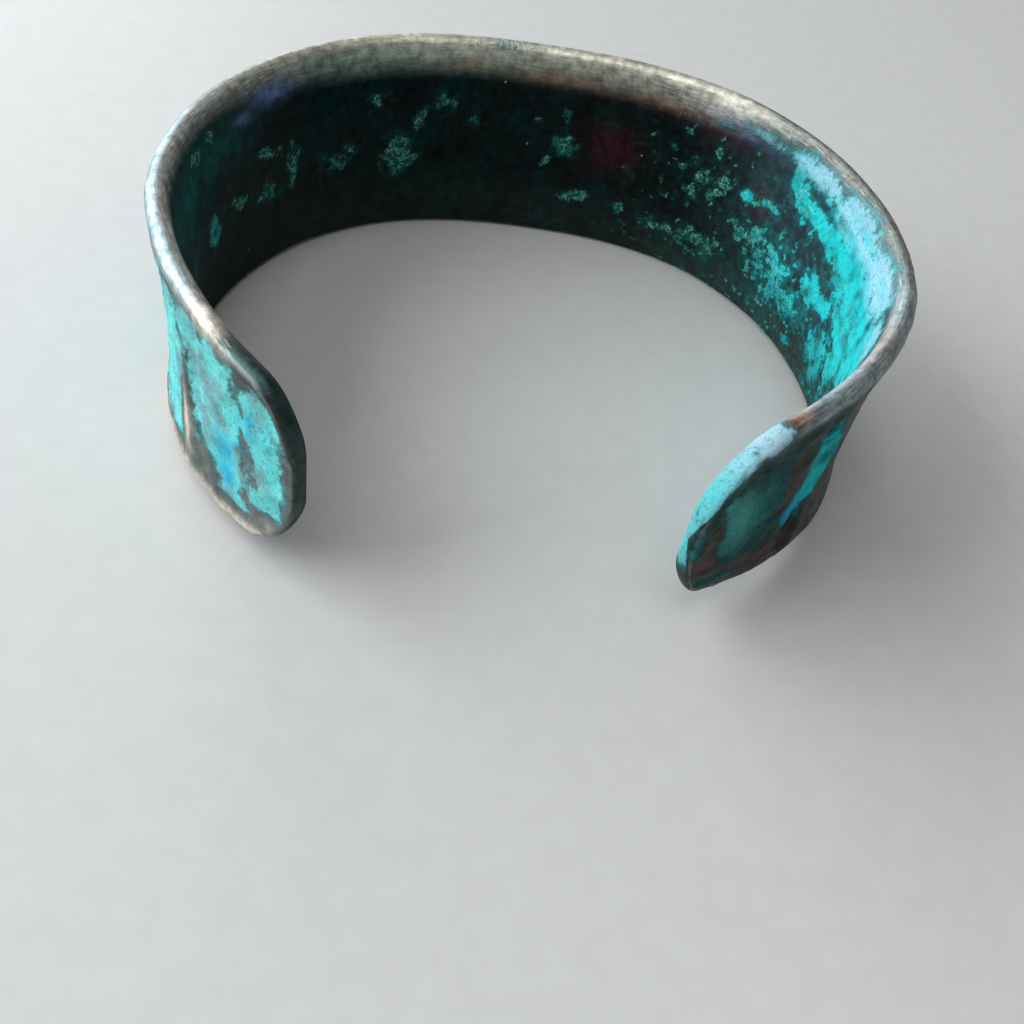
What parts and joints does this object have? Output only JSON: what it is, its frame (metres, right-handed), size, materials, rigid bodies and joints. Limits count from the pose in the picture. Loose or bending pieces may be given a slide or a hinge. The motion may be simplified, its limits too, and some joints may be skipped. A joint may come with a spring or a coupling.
{
  "type": "cuff bracelet",
  "caption": "Open cuff bracelet: a hammered copper strip bent into an oval, hollowed so that its rims flare outwards, with blunt rounded ends and a gap for the wrist.",
  "frame": {"origin": "middle of the bracelet's box, on the surface that it stands on", "axes": "+Z along the wrist, upwards as the bracelet stands on its lower rim; the gap faces -Y; +X across the wrist's width"},
  "size_m": [0.0628, 0.0566, 0.0205],
  "materials": {
    "patinated_copper": "hand-hammered copper, dark brown-black patina with blue-green verdigris and burnished rims"
  },
  "bodies": {
    "root": {"cuff": "patinated_copper"}
  },
  "joints": []
}
